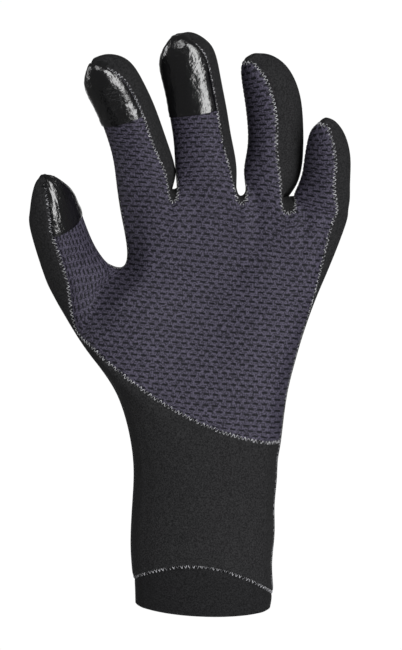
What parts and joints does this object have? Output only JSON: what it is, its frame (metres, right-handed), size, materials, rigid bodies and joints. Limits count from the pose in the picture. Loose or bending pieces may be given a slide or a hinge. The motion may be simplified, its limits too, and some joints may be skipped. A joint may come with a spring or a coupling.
{
  "type": "diving glove",
  "caption": "Left-hand neoprene diving glove with embossed palm, smooth back and cuff, and glossy rubber coats on thumb, index and middle finger.",
  "frame": {"origin": "centre of the wrist opening, in the middle of the rim", "axes": "+Z from the rim towards the fingertips, -Y the palm side, -X the thumb side"},
  "size_m": [0.1503, 0.0646, 0.2742],
  "materials": {
    "embossed_neoprene": "matt, embossed with a small brick pattern",
    "smooth_neoprene": "matt, fine stretch jersey on neoprene",
    "band_neoprene": "matt, thin stretch jersey on neoprene",
    "rubber_coat": "glossy, slightly wrinkled"
  },
  "bodies": {
    "root": {"wrist_band": "band_neoprene", "back_panel": "smooth_neoprene", "palm_panel": "embossed_neoprene", "thumb_coat": "rubber_coat", "index_coat": "rubber_coat", "middle_coat": "rubber_coat"}
  },
  "joints": []
}
